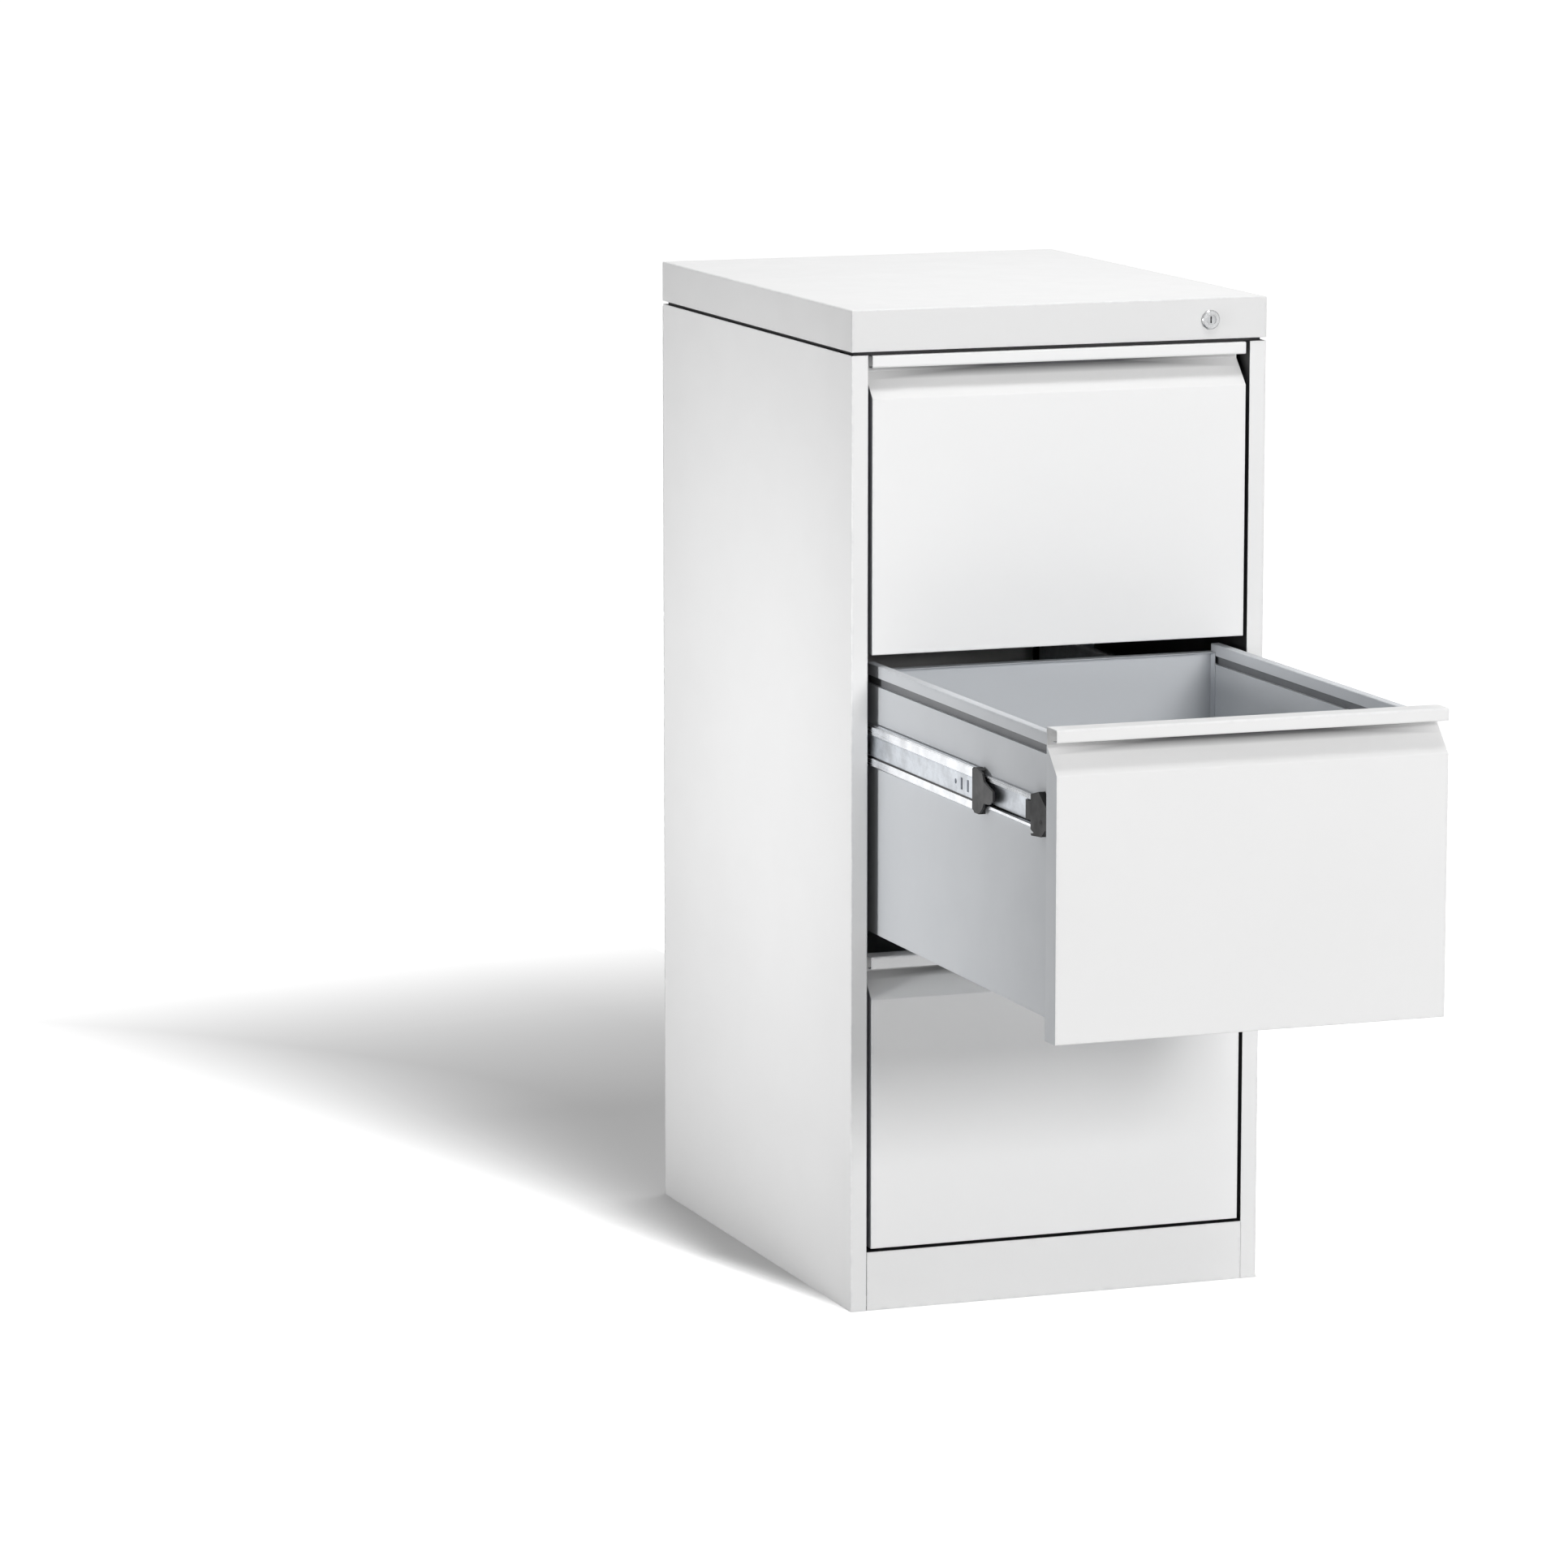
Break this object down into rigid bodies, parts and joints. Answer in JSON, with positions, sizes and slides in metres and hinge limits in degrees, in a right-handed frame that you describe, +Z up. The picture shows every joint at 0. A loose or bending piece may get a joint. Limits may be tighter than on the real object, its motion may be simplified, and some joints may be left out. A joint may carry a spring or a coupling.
{
  "type": "hanging file cabinet",
  "caption": "Upright steel cabinet with drawers on telescopic ball slides for hanging files, recessed lip grips and one cam lock that works a locking bar.",
  "frame": {"origin": "floor level, half way between the front of the open drawer and the back of the cabinet, on the centre line", "axes": "+X right seen from the front, -Y out of the front of the cabinet, +Z up"},
  "size_m": [0.46, 1.09, 1.045],
  "materials": {
    "white_coat": "fine textured powder coat, satin",
    "drawer_coat": "pale grey powder coat, satin",
    "zinc": "bright zinc plate with rolling lines",
    "black_plastic": "moulded, fine matt grain",
    "nickel": "polished nickel plate",
    "dark_coat": "dark primer, matt"
  },
  "bodies": {
    "cabinet": {"left_side_panel": "white_coat", "right_side_panel": "white_coat", "back_panel": "white_coat", "base_panel": "dark_coat", "plinth_rail": "white_coat", "levelling_feet": "black_plastic", "top_deck": "dark_coat", "top_cover": "white_coat", "left_rear_upright": "zinc", "right_rear_upright": "zinc", "lock_housing": "nickel", "lock_bar_guides": "black_plastic", "bottom_left_cabinet_slide": "zinc", "bottom_right_cabinet_slide": "zinc", "middle_left_cabinet_slide": "zinc", "middle_right_cabinet_slide": "zinc", "top_left_cabinet_slide": "zinc", "top_right_cabinet_slide": "zinc"},
    "bottom_drawer": {"bottom_drawer_front": "white_coat", "bottom_front_liner": "drawer_coat", "bottom_drawer_left_side": "drawer_coat", "bottom_drawer_right_side": "drawer_coat", "bottom_drawer_tray": "drawer_coat", "bottom_left_drawer_slide": "zinc", "bottom_right_drawer_slide": "zinc", "bottom_latch_caps": "black_plastic", "bottom_lock_catch": "zinc"},
    "bottom_middle_slides": {"bottom_left_middle_slide": "zinc", "bottom_right_middle_slide": "zinc"},
    "bottom_outer_cages": {"bottom_outer_ball_cages": "zinc"},
    "bottom_inner_cages": {"bottom_inner_ball_cages": "zinc"},
    "middle_drawer": {"middle_drawer_front": "white_coat", "middle_front_liner": "drawer_coat", "middle_drawer_left_side": "drawer_coat", "middle_drawer_right_side": "drawer_coat", "middle_drawer_tray": "drawer_coat", "middle_left_drawer_slide": "zinc", "middle_right_drawer_slide": "zinc", "middle_latch_caps": "black_plastic", "middle_lock_catch": "zinc"},
    "middle_middle_slides": {"middle_left_middle_slide": "zinc", "middle_right_middle_slide": "zinc"},
    "middle_outer_cages": {"middle_outer_ball_cages": "zinc"},
    "middle_inner_cages": {"middle_inner_ball_cages": "zinc"},
    "top_drawer": {"top_drawer_front": "white_coat", "top_front_liner": "drawer_coat", "top_drawer_left_side": "drawer_coat", "top_drawer_right_side": "drawer_coat", "top_drawer_tray": "drawer_coat", "top_left_drawer_slide": "zinc", "top_right_drawer_slide": "zinc", "top_latch_caps": "black_plastic", "top_lock_catch": "zinc"},
    "top_middle_slides": {"top_left_middle_slide": "zinc", "top_right_middle_slide": "zinc"},
    "top_outer_cages": {"top_outer_ball_cages": "zinc"},
    "top_inner_cages": {"top_inner_ball_cages": "zinc"},
    "lock_plug": {"lock_plug": "nickel", "lock_cam": "zinc"},
    "lock_bar": {"lock_bar": "zinc"}
  },
  "joints": [
    {"name": "bottom_drawer_slide", "type": "slide", "parent": "cabinet", "child": "bottom_drawer", "axis": [0, -1, 0], "range_m": [0, 0.52]},
    {"name": "bottom_middle_slides_travel", "type": "slide", "parent": "cabinet", "child": "bottom_middle_slides", "axis": [0, -1, 0], "range_m": [0, 0.39]},
    {"name": "bottom_outer_cages_travel", "type": "slide", "parent": "cabinet", "child": "bottom_outer_cages", "axis": [0, -1, 0], "range_m": [0, 0.195]},
    {"name": "bottom_inner_cages_travel", "type": "slide", "parent": "cabinet", "child": "bottom_inner_cages", "axis": [0, -1, 0], "range_m": [0, 0.455]},
    {"name": "middle_drawer_slide", "type": "slide", "parent": "cabinet", "child": "middle_drawer", "axis": [0, -1, 0], "range_m": [-0.5, 0.02]},
    {"name": "middle_middle_slides_travel", "type": "slide", "parent": "cabinet", "child": "middle_middle_slides", "axis": [0, -1, 0], "range_m": [-0.375, 0.015]},
    {"name": "middle_outer_cages_travel", "type": "slide", "parent": "cabinet", "child": "middle_outer_cages", "axis": [0, -1, 0], "range_m": [-0.1875, 0.0075]},
    {"name": "middle_inner_cages_travel", "type": "slide", "parent": "cabinet", "child": "middle_inner_cages", "axis": [0, -1, 0], "range_m": [-0.4375, 0.0175]},
    {"name": "top_drawer_slide", "type": "slide", "parent": "cabinet", "child": "top_drawer", "axis": [0, -1, 0], "range_m": [0, 0.52]},
    {"name": "top_middle_slides_travel", "type": "slide", "parent": "cabinet", "child": "top_middle_slides", "axis": [0, -1, 0], "range_m": [0, 0.39]},
    {"name": "top_outer_cages_travel", "type": "slide", "parent": "cabinet", "child": "top_outer_cages", "axis": [0, -1, 0], "range_m": [0, 0.195]},
    {"name": "top_inner_cages_travel", "type": "slide", "parent": "cabinet", "child": "top_inner_cages", "axis": [0, -1, 0], "range_m": [0, 0.455]},
    {"name": "lock_turn", "type": "hinge", "parent": "cabinet", "child": "lock_plug", "pos_m": [0.1664, -0.045, 1.0224], "axis": [0, -1, 0], "range_deg": [0, 90]},
    {"name": "lock_bar_lift", "type": "slide", "parent": "cabinet", "child": "lock_bar", "axis": [0, 0, 1], "range_m": [0, 0.01697]}
  ],
  "couplings": [
    {"joint": "bottom_middle_slides_travel", "follows": "bottom_drawer_slide", "ratio": 0.75},
    {"joint": "bottom_outer_cages_travel", "follows": "bottom_drawer_slide", "ratio": 0.375},
    {"joint": "bottom_inner_cages_travel", "follows": "bottom_drawer_slide", "ratio": 0.875},
    {"joint": "middle_middle_slides_travel", "follows": "middle_drawer_slide", "ratio": 0.75},
    {"joint": "middle_outer_cages_travel", "follows": "middle_drawer_slide", "ratio": 0.375},
    {"joint": "middle_inner_cages_travel", "follows": "middle_drawer_slide", "ratio": 0.875},
    {"joint": "top_middle_slides_travel", "follows": "top_drawer_slide", "ratio": 0.75},
    {"joint": "top_outer_cages_travel", "follows": "top_drawer_slide", "ratio": 0.375},
    {"joint": "top_inner_cages_travel", "follows": "top_drawer_slide", "ratio": 0.875},
    {"joint": "lock_turn", "follows": "lock_bar_lift", "rad_per_m": 92.563}
  ]
}
